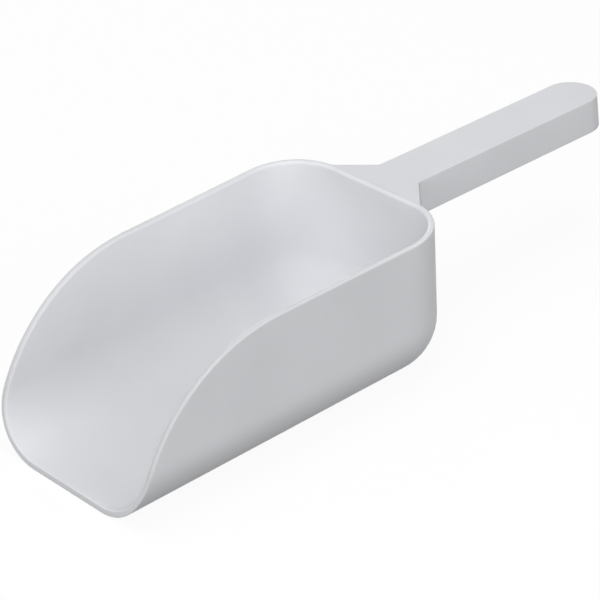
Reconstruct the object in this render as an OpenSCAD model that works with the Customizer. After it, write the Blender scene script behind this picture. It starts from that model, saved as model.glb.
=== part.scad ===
// Ice scoop: an open bowl with a curved mouth and a hollow handle behind it.
// X runs from the lip to the end of the grip, Y across, Z up.
// The origin lies on the underside of the floor, below the point where the rim starts to fall.

/* [Bowl] */
// Width over the rim at the rear corners
bowl_w = 125; // [110:1:140]
// Height from the underside of the floor to the rim
bowl_h = 84.3; // [70:0.1:100]
// Length of the straight rim, from the back wall to the start of the mouth curve
rim_len = 122.7; // [105:0.1:150]
// Radius of the curve in which the rim falls to the lip
mouth_r = 94.5; // [88:0.1:112]
// Radius of the bottom edges and the rear corners
edge_r = 31.7; // [22:0.1:36]
// Thickness of the walls and the floor
wall_t = 3.4; // [2.4:0.1:4.5]
// Lean of the walls, wider at the rim
wall_draft = 0.5; // [0.25:0.05:2]
// Angle at which each side closes in towards the lip
side_taper = 1.15; // [0.2:0.05:3]

/* [Handle] */
// Length from the back wall to the end of the grip
grip_len = 165.2; // [140:0.2:190]
// Width of the grip at its top
grip_w = 29.6; // [24:0.2:34]
// Depth of the grip
grip_h = 19; // [16:0.2:24]
// Thickness of the top of the grip
grip_top = 3.2; // [2:0.1:4]
// Thickness of the sides of the grip
grip_wall = 2.8; // [2:0.1:3.5]
// Lean of the sides of the grip, wider at the bottom
grip_draft = 4.1; // [1:0.1:6]
// Fall of the handle towards its end
handle_tilt = 1.4; // [0:0.1:4]
// Width of the neck where it meets the back wall
neck_w = 66; // [54:0.5:80]
// Length of the flare from the back wall to the grip
neck_len = 17; // [12:0.5:24]
// Radius between the flare and the grip
neck_fillet = 5; // [3:0.5:12]
// Step from the rim down to the top of the neck
neck_step = 0.3; // [0.2:0.1:2]
// Gap between the root of the neck and the back wall
root_gap = 0.1; // [0.05:0.05:0.3]

/* [Tangs] */
// Length of the tangs behind the back wall
tang_len = 34; // [26:1:44]
// Thickness of each tang
tang_t = 3; // [2:0.1:4]
// Room around each tang inside the grip
tang_gap = 0.2; // [0.1:0.05:0.5]

/* [Cover] */
// Thickness of the cover
cover_t = 2.4; // [1.6:0.1:3]
// Gap between the edge of the cover and the grip
cover_gap = 0.2; // [0.1:0.05:0.5]
// Diameter of the pegs on the cover
peg_d = 4.8; // [3.6:0.1:6]
// Length of the pegs above the cover
peg_len = 8; // [5:0.5:9]
// Gap around each peg in its boss
peg_gap = 0.1; // [0.05:0.05:0.2]
// Wall of the bosses around the pegs
boss_wall = 2; // [1.5:0.1:3]
// Distance from the ends of the tangs to the front boss
boss_gap = 12; // [8:1:18]
// Number of ribs between the bosses
rib_count = 4; // [2:1:6]
// Thickness of the ribs
rib_t = 2; // [1.5:0.1:3]

/* [Hidden] */
$fn = 96;

// Depth to which a rounding cuts into the flat side that it joins
round_bite = 0.03;

// Bowl: the rear corners turn about an upright axis, which the bottom edge radius is centred on
wall_rise = (bowl_h - edge_r * (1 - sin(wall_draft))) * tan(wall_draft);
corner_r = edge_r * cos(wall_draft) + wall_rise - round_bite;
axis_x = rim_len - corner_r;
axis_y = bowl_w / 2 - corner_r;
// Width by which the two halves of the bowl overlap
floor_lap = 4;
// Length by which pieces run past the faces that trim them
spare = 6;
side_len = axis_x + mouth_r + spare;
side_slope = tan(side_taper);
mouth_z = bowl_h - mouth_r;

// Handle: its own frame has the top of the neck at z = 0 and the back wall at x = 0
grip_slope = tan(grip_draft);
end_x = grip_len - grip_w / 2;
flare = atan((neck_w - grip_w) / 2 / neck_len);
fillet_y = grip_w / 2 + neck_fillet;
fillet_x = (neck_fillet - cos(flare) * (fillet_y - neck_w / 2)) / sin(flare);
apex_x = neck_w / 2 / tan(flare);
root_lean = wall_draft - handle_tilt;
root_x = rim_len - neck_step * tan(wall_draft);

// Cover and what carries it, with room above the end of each peg
seat_z = cover_t - grip_h;
peg_room = 1;
boss_r = peg_d / 2 + peg_gap + boss_wall;
bore_r = peg_d / 2 + peg_gap;
bore_len = peg_len + peg_room;
boss_front = tang_len + boss_gap;
boss_places = [boss_front, end_x];
rib_step = (end_x - boss_front) / (rib_count + 1);
// Depth to which ribs and bosses reach into the grip's walls
root_in = grip_wall / 2;
tang_y = grip_w / 2 - grip_wall - tang_gap - tang_t;
tang_top = -grip_top - tang_gap;
tang_h = grip_h - grip_top - cover_t - 2 * tang_gap;

// Half of the bowl's section, filled: x is the distance out from the corner axis, y the height
module filled_section(inset, top) {
    r = edge_r - inset;
    foot_z = edge_r - r * sin(wall_draft);
    foot_x = r * cos(wall_draft) - round_bite;
    intersection() {
        union() {
            translate([0, edge_r]) circle(r);
            polygon([
                [0, inset],
                [foot_x, foot_z],
                [foot_x + (top - foot_z) * tan(wall_draft), top],
                [0, top]
            ]);
        }
        square([bowl_w, top]);
    }
}

module wall_section() {
    top = bowl_h + spare;
    difference() {
        filled_section(0, top);
        filled_section(wall_t, top + spare);
    }
}

// The same with floor inside it, past the middle of the bowl
module wall_and_floor() {
    lap = axis_y + floor_lap;
    wall_section();
    translate([-lap, 0]) square([lap, wall_t]);
}

// One side of the bowl, its rear corner and its half of the back wall.
// The side is sheared, so that its rear end keeps the section of the corner.
module bowl_side() {
    translate([axis_x, axis_y, 0]) {
        multmatrix([[1, 0, 0, 0], [side_slope, 1, 0, 0], [0, 0, 1, 0]])
            translate([-side_len, 0, 0])
                rotate([90, 0, 90])
                    linear_extrude(side_len) wall_and_floor();
        rotate_extrude(angle = 90) wall_section();
        rotate([90, 0, 0])
            linear_extrude(axis_y + floor_lap) wall_section();
    }
}

// What is left of the bowl in side view: a straight rim, then the mouth curve down to the lip
module mouth_profile() {
    rotate([90, 0, 0])
        linear_extrude(2 * bowl_w, center = true) {
            translate([0, -spare]) square([rim_len + spare, bowl_h + spare]);
            translate([0, mouth_z]) circle(mouth_r);
        }
}

module handle_frame() {
    translate([root_x, 0, bowl_h - neck_step])
        rotate([0, handle_tilt, 0])
            children();
}

// Everything behind the plane of the back wall's outside, moved back by gap
module behind_wall(gap) {
    deep = 2 * grip_h;
    rotate([0, root_lean, 0])
        translate([gap, -neck_w, -deep])
            cube([2 * grip_len, 2 * neck_w, deep + spare]);
}

module tang() {
    translate([-wall_t / 2, tang_y, tang_top - tang_h])
        cube([tang_len + wall_t / 2, tang_t, tang_h]);
}

module bowl() {
    color("WhiteSmoke") {
        intersection() {
            union() {
                for (side = [0, 1])
                    mirror([0, side, 0]) bowl_side();
            }
            mouth_profile();
        }
        handle_frame()
            for (side = [0, 1])
                mirror([0, side, 0]) tang();
    }
}

// Outline of the neck and grip, drawn in by inset, from top down to bottom
function grip_half(inset, z) = grip_w / 2 - inset - z * grip_slope;

module grip_bar(inset, top, bottom) {
    rotate([90, 0, 90])
        linear_extrude(end_x)
            polygon([
                [grip_half(inset, top), top],
                [grip_half(inset, bottom), bottom],
                [-grip_half(inset, bottom), bottom],
                [-grip_half(inset, top), top]
            ]);
    translate([end_x, 0, bottom])
        cylinder(h = top - bottom, r1 = grip_half(inset, bottom), r2 = grip_half(inset, top));
}

// Everything outside one slanted side of the neck
module flare_cut(inset, top, bottom) {
    high = top + spare;
    low = bottom - spare;
    translate([0, neck_w / 2, 0])
        rotate([0, 0, -flare])
            rotate([90, 0, 90])
                linear_extrude(4 * neck_w, center = true)
                    polygon([
                        [-inset - high * grip_slope, high],
                        [2 * neck_w, high],
                        [2 * neck_w, low],
                        [-inset - low * grip_slope, low]
                    ]);
}

module neck_wedge(inset, top, bottom) {
    difference() {
        translate([-spare, -neck_w, bottom])
            cube([apex_x + spare, 2 * neck_w, top - bottom]);
        for (side = [0, 1])
            mirror([0, side, 0]) flare_cut(inset, top, bottom);
    }
}

// Fills the corner between flare and grip, up to the radius that flare_round cuts
module flare_web(inset, top, bottom) {
    r = neck_fillet + inset;
    translate([0, 0, bottom])
        linear_extrude(top - bottom)
            polygon([
                [fillet_x, grip_w / 2 - inset],
                [fillet_x, fillet_y],
                [fillet_x - r * sin(flare), fillet_y - r * cos(flare)],
                [fillet_x - r * sin(flare), 0],
                [fillet_x, 0]
            ]);
}

module flare_round(inset, top, bottom) {
    high = top + spare;
    low = bottom - spare;
    r = neck_fillet + inset + round_bite;
    translate([fillet_x, fillet_y, low])
        cylinder(h = high - low, r1 = r + low * grip_slope, r2 = r + high * grip_slope);
}

module grip_form(inset, top, bottom) {
    difference() {
        union() {
            grip_bar(inset, top, bottom);
            neck_wedge(inset, top, bottom);
            for (side = [0, 1])
                mirror([0, side, 0]) flare_web(inset, top, bottom);
        }
        for (side = [0, 1])
            mirror([0, side, 0]) flare_round(inset, top, bottom);
    }
}

module rib(x) {
    half = grip_half(root_in, -grip_top);
    translate([x - rib_t / 2, -half, seat_z])
        cube([rib_t, 2 * half, -grip_top - seat_z + root_in]);
}

module boss(x) {
    translate([x, 0, seat_z])
        cylinder(h = -grip_top - seat_z + root_in, r = boss_r);
}

module boss_bore(x) {
    translate([x, 0, seat_z - spare])
        cylinder(h = bore_len + spare, r = bore_r);
}

module handle() {
    color("Gainsboro")
        handle_frame()
            difference() {
                union() {
                    intersection() {
                        difference() {
                            grip_form(0, 0, -grip_h);
                            grip_form(grip_wall, -grip_top, -grip_h - spare);
                        }
                        behind_wall(root_gap);
                    }
                    for (i = [1 : rib_count]) rib(boss_front + i * rib_step);
                    for (x = boss_places) boss(x);
                }
                for (x = boss_places) boss_bore(x);
            }
}

module handle_cover() {
    color("Silver")
        handle_frame() {
            intersection() {
                grip_form(grip_wall + cover_gap, seat_z, -grip_h);
                behind_wall(root_gap + cover_gap);
            }
            for (x = boss_places)
                translate([x, 0, seat_z - cover_t / 2])
                    cylinder(h = peg_len + cover_t / 2, d = peg_d);
        }
}

bowl();
handle();
handle_cover();
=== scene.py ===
from math import atan, atan2, cos, pi, radians, sin, sqrt, tan

import bmesh
import bpy
from mathutils import Matrix, Vector


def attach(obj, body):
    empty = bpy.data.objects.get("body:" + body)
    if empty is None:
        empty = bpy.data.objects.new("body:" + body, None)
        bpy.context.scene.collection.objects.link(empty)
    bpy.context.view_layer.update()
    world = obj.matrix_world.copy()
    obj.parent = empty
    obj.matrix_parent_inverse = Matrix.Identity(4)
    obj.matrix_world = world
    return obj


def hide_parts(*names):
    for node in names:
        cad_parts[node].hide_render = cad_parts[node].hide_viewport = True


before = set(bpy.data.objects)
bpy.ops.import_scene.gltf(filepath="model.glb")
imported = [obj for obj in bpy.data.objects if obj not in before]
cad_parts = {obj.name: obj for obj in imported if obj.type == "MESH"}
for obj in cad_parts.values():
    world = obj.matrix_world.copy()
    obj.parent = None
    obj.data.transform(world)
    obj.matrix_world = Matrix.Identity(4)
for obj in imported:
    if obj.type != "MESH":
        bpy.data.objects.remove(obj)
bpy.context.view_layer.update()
print("frame loaded:", sorted(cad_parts))

mm = 0.001


def linear(hexColour):
    out = []
    for i in (1, 3, 5):
        c = int(hexColour[i:i + 2], 16) / 255
        out.append(c / 12.92 if c <= 0.04045 else ((c + 0.055) / 1.055) ** 2.4)
    return (*out, 1.0)


# adds a node: settings are its properties, inputs are values, sockets or nodes (their first output)
def addNode(tree, kind, settings=None, inputs=None):
    node = tree.nodes.new(kind)
    for name, value in (settings or {}).items():
        setattr(node, name, value)
    for key, value in (inputs or {}).items():
        if isinstance(value, bpy.types.Node):
            value = value.outputs[0]
        if isinstance(value, bpy.types.NodeSocket):
            tree.links.new(value, node.inputs[key])
        else:
            node.inputs[key].default_value = value
    return node


# sizes of the bowl in metres, angles in radians
bowlSize = {
    "width": 125 * mm,
    "height": 84.3 * mm,
    "rimLength": 122.7 * mm,
    "mouthRadius": 94.5 * mm,
    "edgeRadius": 31.7 * mm,
    "wall": 3.4 * mm,
    "draft": radians(0.5),
    "sideTaper": radians(1.15),
    "rimInside": 1.8 * mm,      # rounding of the rim's two edges, which gets small at the lip
    "rimOutside": 1.0 * mm,
    "lipShare": 0.3,
    "lipLow": 4 * mm,           # heights between which the rounding grows
    "lipHigh": 30 * mm,
    "rimSteps": 6,
    "spineFrom": 10 * mm,       # the rows of the floor run in to this stretch of its middle line
    "spineTo": 50 * mm,
    "around": 132,              # columns along half the rim, and those on four of its five stretches
    "lipColumns": 12,
    "mouthColumns": 60,
    "sideColumns": 24,
    "cornerColumns": 26,
    "down": 44,                 # rows from the rim to the middle of the floor
    "seamJoin": 0.001 * mm,
}

# material: moulded polypropylene


def whitePolypropylene(name, withPaintedRimShade):
    # moulded white polypropylene: a cool off-white with a soft satin sheen, a fine moulded grain,
    # faint cloudy flow marks, and painted shade: a greyer band along the mouth edge that tones down its
    # highlight
    look = {
        "body": "#DBDCDF",
        "cloud": "#E0E1E4",
        # painted shade: a greyer colour that darkens the highlight on the mouth's rim
        "paintedRimShade": "#C8C9CB",
        "paintedShadeNone": 105 * mm,      # the painted shade grows forwards from here to there
        "paintedShadeMost": -30 * mm,
        "paintedShadeShare": 0.8,
        "paintedShadeLow": 8 * mm,         # it fades out just above the lip
        "paintedShadeHigh": 30 * mm,
        "paintedShadeInner": 1.0 * mm,     # and lies this deep under the edge
        "paintedShadeOuter": 0.1 * mm,
        "cloudSize": 55 * mm,
        "cloudLow": 0.3,
        "cloudHigh": 0.7,
        "grainSize": 0.9 * mm,      # the real grain is about 0.2 mm, drawn coarser so that it shows
        "grainDepth": 0.02 * mm,
        "grainShare": 0.35,
        "sheenSize": 14 * mm,
        "roughLow": 0.40,
        "roughHigh": 0.50,
        "ior": 1.49,
        "sheen": 0.10,
    }
    mat = bpy.data.materials.new(name)
    mat.use_nodes = True
    tree = mat.node_tree
    tree.nodes.clear()
    place = addNode(tree, "ShaderNodeTexCoord").outputs["Object"]
    clouds = addNode(tree, "ShaderNodeTexNoise", {}, {
        "Vector": place, "Scale": 1 / look["cloudSize"], "Detail": 3.0, "Roughness": 0.5})
    cloudMask = addNode(tree, "ShaderNodeMapRange", {}, {
        "Value": clouds.outputs[0],
        "From Min": look["cloudLow"], "From Max": look["cloudHigh"]})
    colour = addNode(tree, "ShaderNodeMix", {"data_type": "RGBA"}, {
        0: cloudMask, 6: linear(look["body"]), 7: linear(look["cloud"])}).outputs[2]
    # painted shade on the rim of the mouth, strongest towards the lip, darkening its highlight
    if withPaintedRimShade:
        # distance from the mouth's axis line tells how near a point is to the rim
        xyz = addNode(tree, "ShaderNodeSeparateXYZ", {}, {0: place})
        ahead = addNode(tree, "ShaderNodeMath", {"operation": "MINIMUM"}, {0: xyz.outputs["X"], 1: 0.0})
        above = addNode(tree, "ShaderNodeMath", {"operation": "SUBTRACT"}, {
            0: xyz.outputs["Z"], 1: bowlSize["height"] - bowlSize["mouthRadius"]})
        spoke = addNode(tree, "ShaderNodeCombineXYZ", {}, {"X": ahead, "Z": above})
        reach = addNode(tree, "ShaderNodeVectorMath", {"operation": "LENGTH"}, {0: spoke})
        forward = addNode(tree, "ShaderNodeMapRange", {}, {
            "Value": xyz.outputs["X"], "From Min": look["paintedShadeNone"], "From Max": look["paintedShadeMost"],
            "To Max": look["paintedShadeShare"]})
        overLip = addNode(tree, "ShaderNodeMapRange", {}, {
            "Value": xyz.outputs["Z"], "From Min": look["paintedShadeLow"], "From Max": look["paintedShadeHigh"],
            "To Max": forward})
        paintedRimShade = addNode(tree, "ShaderNodeMapRange", {"interpolation_type": "SMOOTHSTEP"}, {
            "Value": reach.outputs["Value"],
            "From Min": bowlSize["mouthRadius"] - look["paintedShadeInner"],
            "From Max": bowlSize["mouthRadius"] - look["paintedShadeOuter"],
            "To Max": overLip})
        colour = addNode(tree, "ShaderNodeMix", {"data_type": "RGBA"}, {
            0: paintedRimShade, 6: colour, 7: linear(look["paintedRimShade"])}).outputs[2]
    sheen = addNode(tree, "ShaderNodeTexNoise", {}, {
        "Vector": place, "Scale": 1 / look["sheenSize"], "Detail": 2.0})
    rough = addNode(tree, "ShaderNodeMapRange", {}, {
        "Value": sheen.outputs[0], "To Min": look["roughLow"], "To Max": look["roughHigh"]})
    grain = addNode(tree, "ShaderNodeTexNoise", {}, {
        "Vector": place, "Scale": 1 / look["grainSize"], "Detail": 2.0, "Roughness": 0.6})
    bump = addNode(tree, "ShaderNodeBump", {}, {
        "Strength": look["grainShare"], "Distance": look["grainDepth"], "Height": grain.outputs[0]})
    shader = addNode(tree, "ShaderNodeBsdfPrincipled", {}, {
        "Base Color": colour, "Roughness": rough, "IOR": look["ior"],
        "Specular IOR Level": look["sheen"], "Normal": bump})
    addNode(tree, "ShaderNodeOutputMaterial", {}, {"Surface": shader})
    return mat


# the bowl's plastic has the painted shade on its mouth rim
bowlPlastic = whitePolypropylene("whitePolypropylenePaintedRimShade", True)
handlePlastic = whitePolypropylene("whitePolypropyleneSatin", False)
print("materials made")


# adds an object with an empty mesh to the scene
def newObject(name):
    obj = bpy.data.objects.new(name, bpy.data.meshes.new(name))
    bpy.context.scene.collection.objects.link(obj)
    return obj


# turns an object and its modifiers into a plain mesh
def bakeModifiers(obj):
    bpy.context.view_layer.update()
    seen = obj.evaluated_get(bpy.context.evaluated_depsgraph_get())
    mesh = bpy.data.meshes.new_from_object(seen)
    old = obj.data
    obj.modifiers.clear()
    obj.data = mesh
    bpy.data.meshes.remove(old)
    mesh.name = obj.name
    return obj


# puts a node tree on an object and sets its inputs by their identifiers
def setTree(obj, tree, values):
    mod = obj.modifiers.new(tree.name, "NODES")
    mod.node_group = tree
    for item in tree.interface.items_tree:
        if item.item_type == "SOCKET" and item.in_out == "INPUT" and item.name in values:
            mod[item.identifier] = values[item.name]
    return mod


def newTree(name, inputs):
    tree = bpy.data.node_groups.new(name, "GeometryNodeTree")
    tree.is_modifier = True
    for label, kind in inputs:
        tree.interface.new_socket(label, in_out="INPUT", socket_type="NodeSocket" + kind)
    tree.interface.new_socket("Geometry", in_out="OUTPUT", socket_type="NodeSocketGeometry")
    return tree


# The bowl: one grid, wrapped from the middle of the floor inside, up over the rim and down to the
# middle of the underside. Its section is swept round the floor and cut by the mouth's arc.
def bowlTree():
    tree = newTree("bowlShell", [
        ("Axis X", "Float"), ("Axis Y", "Float"), ("Edge Radius", "Float"), ("Draft", "Float"),
        ("Wall", "Float"), ("Mouth Radius", "Float"), ("Mouth Height", "Float"),
        ("Side Slope", "Float"), ("Spine From", "Float"), ("Spine To", "Float"),
        ("Around", "Int"), ("Down", "Int"), ("Lip Share", "Float"), ("Mouth Share", "Float"),
        ("Side Share", "Float"), ("Corner Share", "Float"), ("Inner Round", "Float"),
        ("Outer Round", "Float"), ("Lip Round", "Float"), ("Lip Low", "Float"),
        ("Lip High", "Float"), ("Seam Join", "Float"), ("Plastic", "Material")])
    size = addNode(tree, "NodeGroupInput").outputs
    sums, vectors = "ShaderNodeMath", "ShaderNodeVectorMath"

    # rows run over both skins, columns along half the rim from the lip to the back
    rows = addNode(tree, sums, {"operation": "MULTIPLY_ADD"}, {0: size["Down"], 1: 2.0, 2: 2.0})
    columns = addNode(tree, sums, {"operation": "ADD"}, {0: size["Around"], 1: 1.0})
    grid = addNode(tree, "GeometryNodeMeshGrid", {}, {"Vertices X": columns, "Vertices Y": rows})
    index = addNode(tree, "GeometryNodeInputIndex")
    ratio = addNode(tree, sums, {"operation": "DIVIDE"}, {0: index, 1: rows})
    column = addNode(tree, sums, {"operation": "FLOOR"}, {0: ratio})
    row = addNode(tree, sums, {"operation": "MODULO"}, {0: index, 1: rows})
    along = addNode(tree, sums, {"operation": "DIVIDE"}, {0: column, 1: size["Around"]})
    fromRim = addNode(tree, sums, {"operation": "SUBTRACT"}, {0: row, 1: size["Down"]})
    outside = addNode(tree, sums, {"operation": "GREATER_THAN"}, {0: fromRim, 1: 0.5})
    stepsIn = addNode(tree, sums, {"operation": "SUBTRACT"}, {0: fromRim, 1: outside})
    stepsIn = addNode(tree, sums, {"operation": "ABSOLUTE"}, {0: stepsIn})
    inward = addNode(tree, sums, {"operation": "DIVIDE"}, {0: stepsIn, 1: size["Down"]})

    # radius of the bottom edge on this skin, and where its straight wall starts
    inner = addNode(tree, sums, {"operation": "SUBTRACT"}, {0: 1.0, 1: outside})
    inset = addNode(tree, sums, {"operation": "MULTIPLY"}, {0: inner, 1: size["Wall"]})
    radius = addNode(tree, sums, {"operation": "SUBTRACT"}, {0: size["Edge Radius"], 1: inset})
    draftSin = addNode(tree, sums, {"operation": "SINE"}, {0: size["Draft"]})
    draftCos = addNode(tree, sums, {"operation": "COSINE"}, {0: size["Draft"]})
    turn = addNode(tree, sums, {"operation": "SUBTRACT"}, {0: pi / 2, 1: size["Draft"]})
    drop = addNode(tree, sums, {"operation": "MULTIPLY"}, {0: radius, 1: draftSin})
    footZ = addNode(tree, sums, {"operation": "SUBTRACT"}, {0: size["Edge Radius"], 1: drop})
    footRun = addNode(tree, sums, {"operation": "MULTIPLY"}, {0: radius, 1: turn})

    # shares of the rim: lip, mouth curve, straight side, rear corner, half the back wall
    shares = []
    start = 0.0
    for label in ("Lip Share", "Mouth Share", "Side Share", "Corner Share"):
        end = addNode(tree, sums, {"operation": "ADD"}, {0: start, 1: size[label]})
        shares.append(addNode(tree, "ShaderNodeMapRange", {}, {
            "Value": along, "From Min": start, "From Max": end}))
        start = end
    shares.append(addNode(tree, "ShaderNodeMapRange", {}, {"Value": along, "From Min": start}))
    lip, mouth, side, corner, back = shares

    # mouth curve: points get closer together towards the lip
    lipRise = addNode(tree, sums, {"operation": "SUBTRACT"}, {0: inset, 1: size["Mouth Height"]})
    lipCos = addNode(tree, sums, {"operation": "DIVIDE"}, {0: lipRise, 1: size["Mouth Radius"]})
    lipAngle = addNode(tree, sums, {"operation": "ARCCOSINE"}, {0: lipCos})
    mouthSquare = addNode(tree, sums, {"operation": "MULTIPLY"}, {0: mouth, 1: mouth})
    mouthLeft = addNode(tree, sums, {"operation": "SUBTRACT"}, {0: 1.0, 1: mouthSquare})
    angle = addNode(tree, sums, {"operation": "MULTIPLY"}, {0: lipAngle, 1: mouthLeft})
    angleSin = addNode(tree, sums, {"operation": "SINE"}, {0: angle})
    angleCos = addNode(tree, sums, {"operation": "COSINE"}, {0: angle})
    mouthBack = addNode(tree, sums, {"operation": "MULTIPLY"}, {0: angleSin, 1: size["Mouth Radius"]})
    rimZ = addNode(tree, sums, {"operation": "MULTIPLY_ADD"}, {
        0: angleCos, 1: size["Mouth Radius"], 2: size["Mouth Height"]})

    # length of the section from the floor's edge up to the rim
    rimDepth = addNode(tree, sums, {"operation": "SUBTRACT"}, {0: size["Edge Radius"], 1: rimZ})
    rimCos = addNode(tree, sums, {"operation": "DIVIDE"}, {0: rimDepth, 1: radius})
    rimCos = addNode(tree, sums, {"operation": "MAXIMUM"}, {0: rimCos, 1: draftSin})
    rimCos = addNode(tree, sums, {"operation": "MINIMUM"}, {0: rimCos, 1: 1.0})
    rimTurn = addNode(tree, sums, {"operation": "ARCCOSINE"}, {0: rimCos})
    overFoot = addNode(tree, sums, {"operation": "SUBTRACT"}, {0: rimZ, 1: footZ})
    overFoot = addNode(tree, sums, {"operation": "MAXIMUM"}, {0: overFoot, 1: 0.0})
    overFoot = addNode(tree, sums, {"operation": "DIVIDE"}, {0: overFoot, 1: draftCos})
    rimRun = addNode(tree, sums, {"operation": "MULTIPLY_ADD"}, {0: rimTurn, 1: radius, 2: overFoot})
    offLip = addNode(tree, sums, {"operation": "GREATER_THAN"}, {0: mouth, 1: 0.0})
    rimRun = addNode(tree, sums, {"operation": "MULTIPLY"}, {0: rimRun, 1: offLip})

    # the rim in a flat layout of the skin, the spine of the floor, and the rows between them
    cornerLeft = addNode(tree, sums, {"operation": "SUBTRACT"}, {0: 1.0, 1: corner})
    swing = addNode(tree, sums, {"operation": "MULTIPLY"}, {0: cornerLeft, 1: pi / 2})
    swingSin = addNode(tree, sums, {"operation": "SINE"}, {0: swing})
    swingCos = addNode(tree, sums, {"operation": "COSINE"}, {0: swing})
    sideX = addNode(tree, sums, {"operation": "MULTIPLY"}, {0: side, 1: size["Axis X"]})
    baseX = addNode(tree, sums, {"operation": "SUBTRACT"}, {0: sideX, 1: mouthBack})
    rimX = addNode(tree, sums, {"operation": "MULTIPLY_ADD"}, {0: rimRun, 1: swingCos, 2: baseX})
    backLeft = addNode(tree, sums, {"operation": "SUBTRACT"}, {0: lip, 1: back})
    baseY = addNode(tree, sums, {"operation": "MULTIPLY"}, {0: backLeft, 1: size["Axis Y"]})
    rimY = addNode(tree, sums, {"operation": "MULTIPLY_ADD"}, {0: rimRun, 1: swingSin, 2: baseY})
    rimFlat = addNode(tree, "ShaderNodeCombineXYZ", {}, {"X": rimX, "Y": rimY})
    spineX = addNode(tree, "ShaderNodeMapRange", {}, {
        "Value": along, "To Min": size["Spine From"], "To Max": size["Spine To"]})
    spine = addNode(tree, "ShaderNodeCombineXYZ", {}, {"X": spineX})
    flat = addNode(tree, "ShaderNodeMix", {"data_type": "VECTOR"}, {
        0: inward, 4: rimFlat, 5: spine}).outputs[1]

    # fold the flat layout up: what lies outside the floor goes round the edge and up the wall
    floorLimit = addNode(tree, "ShaderNodeCombineXYZ", {}, {"X": size["Axis X"], "Y": size["Axis Y"]})
    floorPoint = addNode(tree, vectors, {"operation": "MINIMUM"}, {0: flat, 1: floorLimit})
    beyond = addNode(tree, vectors, {"operation": "SUBTRACT"}, {0: flat, 1: floorPoint})
    run = addNode(tree, vectors, {"operation": "LENGTH"}, {0: beyond}).outputs["Value"]
    outward = addNode(tree, vectors, {"operation": "NORMALIZE"}, {0: beyond})
    bend = addNode(tree, sums, {"operation": "DIVIDE"}, {0: run, 1: radius})
    bend = addNode(tree, sums, {"operation": "MINIMUM"}, {0: bend, 1: turn})
    climb = addNode(tree, sums, {"operation": "SUBTRACT"}, {0: run, 1: footRun})
    climb = addNode(tree, sums, {"operation": "MAXIMUM"}, {0: climb, 1: 0.0})
    bendSin = addNode(tree, sums, {"operation": "SINE"}, {0: bend})
    bendCos = addNode(tree, sums, {"operation": "COSINE"}, {0: bend})
    lean = addNode(tree, sums, {"operation": "MULTIPLY"}, {0: climb, 1: draftSin})
    out = addNode(tree, sums, {"operation": "MULTIPLY_ADD"}, {0: bendSin, 1: radius, 2: lean})
    edgeDrop = addNode(tree, sums, {"operation": "MULTIPLY"}, {0: bendCos, 1: radius})
    edgeZ = addNode(tree, sums, {"operation": "SUBTRACT"}, {0: size["Edge Radius"], 1: edgeDrop})
    height = addNode(tree, sums, {"operation": "MULTIPLY_ADD"}, {0: climb, 1: draftCos, 2: edgeZ})
    plan = addNode(tree, vectors, {"operation": "SCALE"}, {0: outward, "Scale": out})
    plan = addNode(tree, vectors, {"operation": "ADD"}, {0: floorPoint, 1: plan})

    # the sides close in towards the lip
    planXyz = addNode(tree, "ShaderNodeSeparateXYZ", {}, {0: plan})
    floorXyz = addNode(tree, "ShaderNodeSeparateXYZ", {}, {0: floorPoint})
    ahead = addNode(tree, sums, {"operation": "SUBTRACT"}, {0: size["Axis X"], 1: planXyz.outputs["X"]})
    ahead = addNode(tree, sums, {"operation": "MAXIMUM"}, {0: ahead, 1: 0.0})
    closing = addNode(tree, sums, {"operation": "MULTIPLY"}, {0: ahead, 1: size["Side Slope"]})
    spread = addNode(tree, sums, {"operation": "DIVIDE"}, {0: floorXyz.outputs["Y"], 1: size["Axis Y"]})
    closing = addNode(tree, sums, {"operation": "MULTIPLY"}, {0: closing, 1: spread})
    planY = addNode(tree, sums, {"operation": "SUBTRACT"}, {0: planXyz.outputs["Y"], 1: closing})
    place = addNode(tree, "ShaderNodeCombineXYZ", {}, {
        "X": planXyz.outputs["X"], "Y": planY, "Z": height})

    half = addNode(tree, "GeometryNodeSetPosition", {}, {"Geometry": grid, "Position": place})

    # weights for the rounding: edges that run along the inside or the outside of the rim
    weight = 0.0
    for level, share in ((0.0, size["Inner Round"]), (1.0, size["Outer Round"])):
        onRim = addNode(tree, sums, {"operation": "COMPARE"}, {0: fromRim, 1: level, 2: 0.1})
        onRim = addNode(tree, "GeometryNodeFieldOnDomain", {"domain": "POINT"}, {0: onRim})
        alongRim = addNode(tree, sums, {"operation": "GREATER_THAN"}, {0: onRim, 1: 0.9})
        weight = addNode(tree, sums, {"operation": "MULTIPLY_ADD"}, {0: alongRim, 1: share, 2: weight})
    here = addNode(tree, "ShaderNodeSeparateXYZ", {}, {0: addNode(tree, "GeometryNodeInputPosition")})
    upRim = addNode(tree, "ShaderNodeMapRange", {}, {
        "Value": here.outputs["Z"], "From Min": size["Lip Low"], "From Max": size["Lip High"],
        "To Min": size["Lip Round"], "To Max": 1.0})
    weight = addNode(tree, sums, {"operation": "MULTIPLY"}, {0: weight, 1: upRim})
    half = addNode(tree, "GeometryNodeStoreNamedAttribute", {"data_type": "FLOAT", "domain": "EDGE"}, {
        "Geometry": half, "Name": "bevel_weight_edge", "Value": weight})

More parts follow.
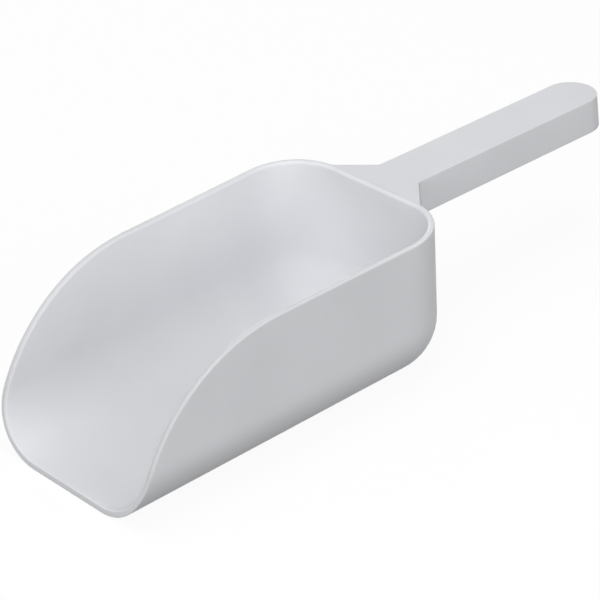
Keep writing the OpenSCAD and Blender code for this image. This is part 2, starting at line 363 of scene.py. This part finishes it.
    # mirror the half and close the middle seam
    other = addNode(tree, "GeometryNodeTransform", {}, {"Geometry": half, "Scale": (1.0, -1.0, 1.0)})
    other = addNode(tree, "GeometryNodeFlipFaces", {}, {"Mesh": other})
    both = addNode(tree, "GeometryNodeJoinGeometry", {}, {"Geometry": half})
    tree.links.new(other.outputs[0], both.inputs[0])
    whole = addNode(tree, "GeometryNodeMergeByDistance", {}, {
        "Geometry": both, "Distance": size["Seam Join"]})
    whole = addNode(tree, "GeometryNodeRealizeInstances", {}, {"Geometry": whole})
    whole = addNode(tree, "GeometryNodeSetMaterial", {}, {
        "Geometry": whole, "Material": size["Plastic"]})
    addNode(tree, "NodeGroupOutput", {}, {"Geometry": whole})
    return tree


# radius of the rear corners at the rim
def rearCorner():
    s = bowlSize
    wallRise = s["height"] - s["edgeRadius"] * (1 - sin(s["draft"]))
    return s["edgeRadius"] * cos(s["draft"]) + wallRise * tan(s["draft"])


def makeBowl():
    s = bowlSize
    cornerRadius = rearCorner()
    widest = max(s["rimInside"], s["rimOutside"])
    bowl = newObject("bowl_shell")
    setTree(bowl, bowlTree(), {
        "Axis X": s["rimLength"] - cornerRadius, "Axis Y": s["width"] / 2 - cornerRadius,
        "Edge Radius": s["edgeRadius"], "Draft": s["draft"], "Wall": s["wall"],
        "Mouth Radius": s["mouthRadius"], "Mouth Height": s["height"] - s["mouthRadius"],
        "Side Slope": tan(s["sideTaper"]), "Spine From": s["spineFrom"], "Spine To": s["spineTo"],
        "Around": s["around"], "Down": s["down"],
        "Lip Share": s["lipColumns"] / s["around"], "Mouth Share": s["mouthColumns"] / s["around"],
        "Side Share": s["sideColumns"] / s["around"],
        "Corner Share": s["cornerColumns"] / s["around"],
        "Inner Round": s["rimInside"] / widest, "Outer Round": s["rimOutside"] / widest,
        "Lip Round": s["lipShare"], "Lip Low": s["lipLow"], "Lip High": s["lipHigh"],
        "Seam Join": s["seamJoin"],
        "Plastic": bowlPlastic})
    bevel = bowl.modifiers.new("rimRound", "BEVEL")
    bevel.width = widest
    bevel.segments = s["rimSteps"]
    bevel.limit_method = "WEIGHT"
    bakeModifiers(bowl)
    tidyMesh(bowl)
    return bowl


# merges doubles, splits quads at straight corners, turns the faces outwards and shades them smooth
def tidyMesh(obj):
    straight, joinWithin = radians(179.9), 0.002 * mm
    bm = bmesh.new()
    bm.from_mesh(obj.data)
    bmesh.ops.remove_doubles(bm, verts=bm.verts, dist=joinWithin)
    for face in [f for f in bm.faces if len(f.verts) == 4]:
        for loop in face.loops:
            if loop.calc_angle() > straight:
                bmesh.utils.face_split(face, loop.vert, loop.link_loop_next.link_loop_next.vert)
                break
    bmesh.ops.recalc_face_normals(bm, faces=bm.faces)
    for face in bm.faces:
        face.smooth = True
    loose = sum(1 for e in bm.edges if not e.is_manifold)
    bm.to_mesh(obj.data)
    bm.free()
    print(obj.name, len(obj.data.polygons), "faces,", loose, "open edges")


bowl = makeBowl()

# sizes of the handle: top of the neck at z = 0, back wall at x = 0, before it is set in place
handleSize = {
    "length": 165.15 * mm,
    "width": 29.6 * mm,
    "depth": 19 * mm,
    "top": 3.2 * mm,
    "wall": 2.8 * mm,
    "draft": radians(4.1),
    "tilt": radians(1.4),
    "neckWidth": 66 * mm,
    "neckLength": 17 * mm,
    "gripFillet": 5 * mm,
    "wallFillet": 7 * mm,
    "step": 0.3 * mm,
    "topRound": 0.3 * mm,
    "bottomRound": 0.4 * mm,
    "rootIn": 1.6 * mm,         # the root runs this far into the back wall,
    "filletIn": 0.5 * mm,       # and its fillet starts this far in
    "filletSteps": 8,
    "flareSteps": 6,
    "sideSteps": 25,
    "endSteps": 24,
    "topSteps": 8,              # rows on the top edge, the side, the bottom edges and the inside
    "outerSteps": 6,
    "bottomSteps": 4,
    "innerSteps": 4,
    "topRows": (1.0, 0.75, 0.5, 0.25),      # shares of the way in to the middle line
    "ceilingRows": (0.35, 0.7, 1.0),
    "joinWithin": 0.005 * mm,
    "smallest": 0.002 * mm,
}


def handlePlace():
    s = handleSize
    rootX = bowlSize["rimLength"] - s["step"] * tan(bowlSize["draft"])
    shift = Matrix.Translation((rootX, 0, bowlSize["height"] - s["step"]))
    return shift @ Matrix.Rotation(s["tilt"], 4, "Y")


# half the outline of neck and grip, moved out by grow: wall fillet, flare, grip fillet, side, round end
def gripOutline(grow):
    s = handleSize
    half = s["width"] / 2
    flare = atan((s["neckWidth"] / 2 - half) / s["neckLength"])
    normal = Vector((sin(flare), cos(flare)))
    along = Vector((cos(flare), -sin(flare)))
    flareAt = cos(flare) * s["neckWidth"] / 2
    corner = rearCorner()
    pivot = Vector((-corner, bowlSize["width"] / 2 - corner))
    # the wall fillet touches the flare and the rear corner of the bowl
    offLine = normal * (flareAt + s["wallFillet"]) - pivot
    reach = corner + s["wallFillet"] - s["filletIn"]
    slide = sqrt(offLine.dot(along) ** 2 - offLine.length_squared + reach ** 2) - offLine.dot(along)
    centre = offLine + along * slide
    start = atan2(-centre.y, -centre.x)
    turn = (1.5 * pi - flare - start) % (2 * pi)
    centre += pivot
    points = [(-s["rootIn"], pivot.y)]
    steps = s["filletSteps"]
    for i in range(-1, steps + 1):
        a = start + turn * max(i, 0) / steps
        r = s["wallFillet"] - grow + (s["rootIn"] if i < 0 else 0)
        points.append((centre.x + r * cos(a), centre.y + r * sin(a)))
    gy = half + s["gripFillet"]
    gx = (flareAt + s["gripFillet"] - normal.y * gy) / normal.x
    r = s["gripFillet"] - grow
    startFlare = Vector(points[-1])
    endFlare = Vector((gx - r * normal.x, gy - r * normal.y))
    for i in range(1, s["flareSteps"]):
        points.append(tuple(startFlare.lerp(endFlare, i / s["flareSteps"])))
    for i in range(steps + 1):
        a = 1.5 * pi - flare + flare * i / steps
        points.append((gx + r * cos(a), gy + r * sin(a)))
    endX = s["length"] - half
    for i in range(1, s["sideSteps"]):
        points.append((gx + (endX - gx) * i / s["sideSteps"], half + grow))
    for i in range(s["endSteps"] + 1):
        a = pi / 2 * (1 - i / s["endSteps"])
        points.append((endX + (half + grow) * cos(a), (half + grow) * sin(a)))
    return [rootInWall(x, max(y, 0.0), pivot) for x, y in points]


# keeps a point of the outline from running too far into the back wall or the rear corner
def rootInWall(x, y, pivot):
    deepest = -pivot.x - handleSize["rootIn"]
    if y <= pivot.y:
        return max(x, -handleSize["rootIn"]), y
    out = Vector((x, y)) - pivot
    if out.length < deepest:
        out *= deepest / out.length
    return out.x + pivot.x, out.y + pivot.y


# the handle: rows from the middle of the top, over the edge, down, under the skirt and up inside
def makeHandle():
    s = handleSize
    slope = tan(s["draft"])
    endX = s["length"] - s["width"] / 2
    topR, bottomR = s["topRound"], s["bottomRound"]
    # each row: how far out of the outline, at what height, how far in to the middle line
    rows = [(-topR, 0.0, share) for share in s["topRows"]]
    for i in range(s["topSteps"] + 1):
        a = pi / 2 * (1 - i / s["topSteps"])
        z = -topR + topR * sin(a)
        rows.append((-topR + topR * cos(a) - z * slope, z, 0.0))
    low = -s["depth"]
    for i in range(1, s["outerSteps"] + 1):
        z = -topR + (low + bottomR + topR) * i / s["outerSteps"]
        rows.append((-z * slope, z, 0.0))
    for i in range(1, s["bottomSteps"] + 1):
        a = pi / 2 * i / s["bottomSteps"]
        z = low + bottomR - bottomR * sin(a)
        rows.append((-low * slope - bottomR + bottomR * cos(a), z, 0.0))
    inner = -s["wall"] - low * slope
    for i in range(s["bottomSteps"] + 1):
        a = pi / 2 * (1 - i / s["bottomSteps"])
        z = low + bottomR - bottomR * sin(a)
        rows.append((inner + bottomR - bottomR * cos(a), z, 0.0))
    ceiling = -s["top"]
    for i in range(1, s["innerSteps"] + 1):
        z = low + bottomR + (ceiling - low - bottomR) * i / s["innerSteps"]
        rows.append((-s["wall"] - z * slope, z, 0.0))
    rows += [(-s["wall"] - ceiling * slope, ceiling, share) for share in s["ceilingRows"]]
    handle = newObject("handle_shell")
    bm = bmesh.new()
    table = []
    for grow, z, share in rows:
        line = []
        for x, y in gripOutline(grow):
            mid = min(x, endX)
            line.append(bm.verts.new((x + (mid - x) * share, y * (1 - share), z)))
        table.append(line)
    for upper, lower in zip(table, table[1:]):
        for i in range(len(upper) - 1):
            bm.faces.new((upper[i], lower[i], lower[i + 1], upper[i + 1]))
    copy = bmesh.ops.duplicate(bm, geom=bm.verts[:] + bm.edges[:] + bm.faces[:])["geom"]
    bmesh.ops.scale(bm, vec=(1, -1, 1), verts=[v for v in copy if isinstance(v, bmesh.types.BMVert)])
    bmesh.ops.remove_doubles(bm, verts=bm.verts, dist=s["joinWithin"])
    bmesh.ops.dissolve_degenerate(bm, edges=bm.edges, dist=s["smallest"])
    rim = [e for e in bm.edges if e.is_boundary]
    bmesh.ops.holes_fill(bm, edges=rim, sides=0)
    bm.to_mesh(handle.data)
    bm.free()
    handle.data.transform(handlePlace())
    handle.data.materials.append(handlePlastic)
    tidyMesh(handle)
    return handle


handle = makeHandle()

# ribs across the hollow of the handle, and two bosses for the pegs of the cover: both run from the
# seat of the cover up into the top of the grip
ribSize = {
    "count": 4,
    "thickness": 2 * mm,
    "coverThickness": 2.4 * mm,
    "bossFront": 46 * mm,
    "bossRadius": 4.5 * mm,
    "boreRadius": 2.5 * mm,
    "boreDepth": 9 * mm,
    "bossSteps": 40,
}


def ribTree():
    tree = newTree("handleRibs", [
        ("First", "Float"), ("Step", "Float"), ("Count", "Int"), ("Size", "Vector"),
        ("Middle Z", "Float"), ("Plastic", "Material")])
    size = addNode(tree, "NodeGroupInput").outputs
    start = addNode(tree, "ShaderNodeCombineXYZ", {}, {"X": size["First"], "Z": size["Middle Z"]})
    step = addNode(tree, "ShaderNodeCombineXYZ", {}, {"X": size["Step"]})
    line = addNode(tree, "GeometryNodeMeshLine", {"mode": "OFFSET"}, {
        "Count": size["Count"], "Start Location": start, "Offset": step})
    rib = addNode(tree, "GeometryNodeMeshCube", {}, {"Size": size["Size"]})
    ribs = addNode(tree, "GeometryNodeInstanceOnPoints", {}, {"Points": line, "Instance": rib})
    ribs = addNode(tree, "GeometryNodeRealizeInstances", {}, {"Geometry": ribs})
    ribs = addNode(tree, "GeometryNodeSetMaterial", {}, {
        "Geometry": ribs, "Material": size["Plastic"]})
    addNode(tree, "NodeGroupOutput", {}, {"Geometry": ribs})
    return tree


def makeRibs():
    s, h = ribSize, handleSize
    seat = s["coverThickness"] - h["depth"]
    top = -h["top"] + h["wall"] / 2
    endX = h["length"] - h["width"] / 2
    step = (endX - s["bossFront"]) / (s["count"] + 1)
    half = h["width"] / 2 - h["wall"] / 2 + h["top"] * tan(h["draft"])
    ribs = newObject("handle_ribs")
    setTree(ribs, ribTree(), {
        "First": s["bossFront"] + step, "Step": step, "Count": s["count"],
        "Size": (s["thickness"], 2 * half, top - seat), "Middle Z": (top + seat) / 2,
        "Plastic": handlePlastic})
    bakeModifiers(ribs)
    ribs.data.transform(handlePlace())
    return ribs


ribs = makeRibs()


# each boss is turned from a half section that is closed on its axis
def makeBosses():
    s, h = ribSize, handleSize
    seat = s["coverThickness"] - h["depth"]
    top = -h["top"] + h["wall"] / 2
    boreEnd = seat + s["boreDepth"]
    section = ((0, top), (s["bossRadius"], top), (s["bossRadius"], seat),
               (s["boreRadius"], seat), (s["boreRadius"], boreEnd), (0, boreEnd))
    bosses = newObject("handle_bosses")
    bm = bmesh.new()
    for x in (s["bossFront"], h["length"] - h["width"] / 2):
        verts = [bm.verts.new((x + r, 0, z)) for r, z in section]
        edges = [bm.edges.new(ends) for ends in zip(verts, verts[1:])]
        bmesh.ops.spin(bm, geom=verts + edges, cent=(x, 0, 0), axis=(0, 0, 1),
                       angle=2 * pi, steps=s["bossSteps"])
    bm.to_mesh(bosses.data)
    bm.free()
    bosses.data.transform(handlePlace())
    bosses.data.materials.append(handlePlastic)
    tidyMesh(bosses)
    return bosses


bosses = makeBosses()

# two flat tangs on the back wall that run into the hollow of the handle
tangSize = {
    "length": 34 * mm,
    "thickness": 3 * mm,
    "gap": 0.2 * mm,
}


def makeTangs():
    s, h = tangSize, handleSize
    root = -bowlSize["wall"] / 2
    high = h["depth"] - h["top"] - ribSize["coverThickness"] - 2 * s["gap"]
    size = (s["length"] - root, s["thickness"], high)
    y = h["width"] / 2 - h["wall"] - s["gap"] - s["thickness"] / 2
    tangs = newObject("bowl_tangs")
    bm = bmesh.new()
    for side in (1, -1):
        middle = (root + size[0] / 2, side * y, -h["top"] - s["gap"] - high / 2)
        bmesh.ops.create_cube(bm, size=1, matrix=Matrix.Translation(middle) @ Matrix.Diagonal((*size, 1)))
    bm.to_mesh(tangs.data)
    bm.free()
    tangs.data.transform(handlePlace())
    tangs.data.materials.append(bowlPlastic)
    return tangs


tangs = makeTangs()

# the cover keeps its solid, with the handle's plastic
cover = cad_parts["handle_cover"]
cover.data.materials.clear()
cover.data.materials.append(handlePlastic)

for piece, node in ((bowl, "bowl"), (handle, "handle"), (ribs, None), (bosses, None), (tangs, None)):
    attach(piece, "root")
    if node:
        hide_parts(node)
print("pieces in place")

# camera
cameraSet = {
    "azimuth": radians(-40.50),
    "elevation": radians(30.72),
    "roll": radians(-3.89),
    "distance": 1349.2 * mm,
    "target": Vector((63.62, -2.03, 40.40)) * mm,
    "lens": 156,
    "sensor": 36,
    "farthest": 20,
}


def makeCamera():
    s = cameraSet
    az, el = s["azimuth"], s["elevation"]
    back = Vector((sin(az) * cos(el), -cos(az) * cos(el), sin(el)))
    right = Vector((0, 0, 1)).cross(back).normalized()
    up = back.cross(right)
    c, r = cos(s["roll"]), sin(s["roll"])
    axes = Matrix((c * right + r * up, c * up - r * right, back)).transposed().to_4x4()
    data = bpy.data.cameras.new("camera")
    data.lens = s["lens"]
    data.sensor_width = s["sensor"]
    data.clip_end = s["farthest"]
    camera = bpy.data.objects.new("camera", data)
    bpy.context.scene.collection.objects.link(camera)
    camera.matrix_world = Matrix.Translation(s["target"] + back * s["distance"]) @ axes
    bpy.context.scene.camera = camera


makeCamera()

# studio: a white floor that keeps the shadow, a white surround and soft lamps
studio = {
    "surround": 0.175,
    "floorSeen": "#FAFAFA",     # to the camera the floor is white paper
    "floorBounce": "#4C4C4C",   # and it throws little light back up
    "floorWhite": 0.93,
    "floorHalf": 3.0,
    "floorZ": -0.2 * mm,
    "lampAim": Vector((0.06, 0, 0.04)),
    "lamps": (
        # name, place and width in metres, power in watts
        ("softboxFront", (-1.0, -1.2, 1.5), 1.5, 7.2),
        ("softboxNear", (0.2, -1.9, 0.8), 1.5, 19.4),
        ("softboxLip", (-1.9, -0.3, 0.6), 1.5, 16.2),
        ("softboxLow", (-1.5, -1.3, 0.35), 1.5, 2.5),
        ("softboxTop", (0.0, 0.0, 2.2), 1.5, 16.0),
        ("softboxFar", (-0.6, 1.2, 1.8), 1.5, 6.6),
        ("softboxBehind", (0.9, 1.8, 0.17), 0.3, 13.0),     # low, for the side away from the camera
    ),
}


# 1 for rays from the camera, from a gloss or through glass, 0 for light that is thrown about
def seenRays(tree):
    path = addNode(tree, "ShaderNodeLightPath").outputs
    seen = addNode(tree, "ShaderNodeMath", {"operation": "MAXIMUM"}, {
        0: path["Is Camera Ray"], 1: path["Is Glossy Ray"]})
    return addNode(tree, "ShaderNodeMath", {"operation": "MAXIMUM"}, {
        0: seen, 1: path["Is Transmission Ray"]})


def makeStudio():
    s = studio
    scene = bpy.context.scene
    world = bpy.data.worlds.new("studio")
    scene.world = world
    world.use_nodes = True
    tree = world.node_tree
    tree.nodes.clear()
    seen = seenRays(tree)
    strength = addNode(tree, "ShaderNodeMapRange", {}, {"Value": seen, "To Min": s["surround"]})
    sky = addNode(tree, "ShaderNodeBackground", {}, {
        "Color": (1, 1, 1, 1), "Strength": strength})
    addNode(tree, "ShaderNodeOutputWorld", {}, {"Surface": sky})

    paper = bpy.data.materials.new("whitePaperFloor")
    paper.use_nodes = True
    tree = paper.node_tree
    tree.nodes.clear()
    seen = seenRays(tree)
    share = addNode(tree, "ShaderNodeMath", {"operation": "MULTIPLY"}, {0: seen, 1: s["floorWhite"]})
    paperColour = addNode(tree, "ShaderNodeMix", {"data_type": "RGBA"}, {
        0: seen, 6: linear(s["floorBounce"]), 7: linear(s["floorSeen"])}).outputs[2]
    matte = addNode(tree, "ShaderNodeBsdfDiffuse", {}, {"Color": paperColour})
    white = addNode(tree, "ShaderNodeEmission", {}, {"Strength": 1.0})
    mix = addNode(tree, "ShaderNodeMixShader", {}, {0: share, 1: matte, 2: white})
    addNode(tree, "ShaderNodeOutputMaterial", {}, {"Surface": mix})
    bm = bmesh.new()
    bmesh.ops.create_grid(bm, x_segments=1, y_segments=1, size=s["floorHalf"])
    floor = newObject("floor")
    bm.to_mesh(floor.data)
    bm.free()
    floor.data.transform(Matrix.Translation((0, 0, s["floorZ"])))
    floor.data.materials.append(paper)

    for name, at, width, power in s["lamps"]:
        data = bpy.data.lights.new(name, "AREA")
        data.shape = "DISK"
        data.size = width
        data.energy = power
        lamp = bpy.data.objects.new(name, data)
        scene.collection.objects.link(lamp)
        lamp.location = at
        aim = s["lampAim"] - Vector(at)
        lamp.rotation_euler = aim.to_track_quat("-Z", "Y").to_euler()
    scene.view_settings.view_transform = "Standard"


makeStudio()
print("studio made")
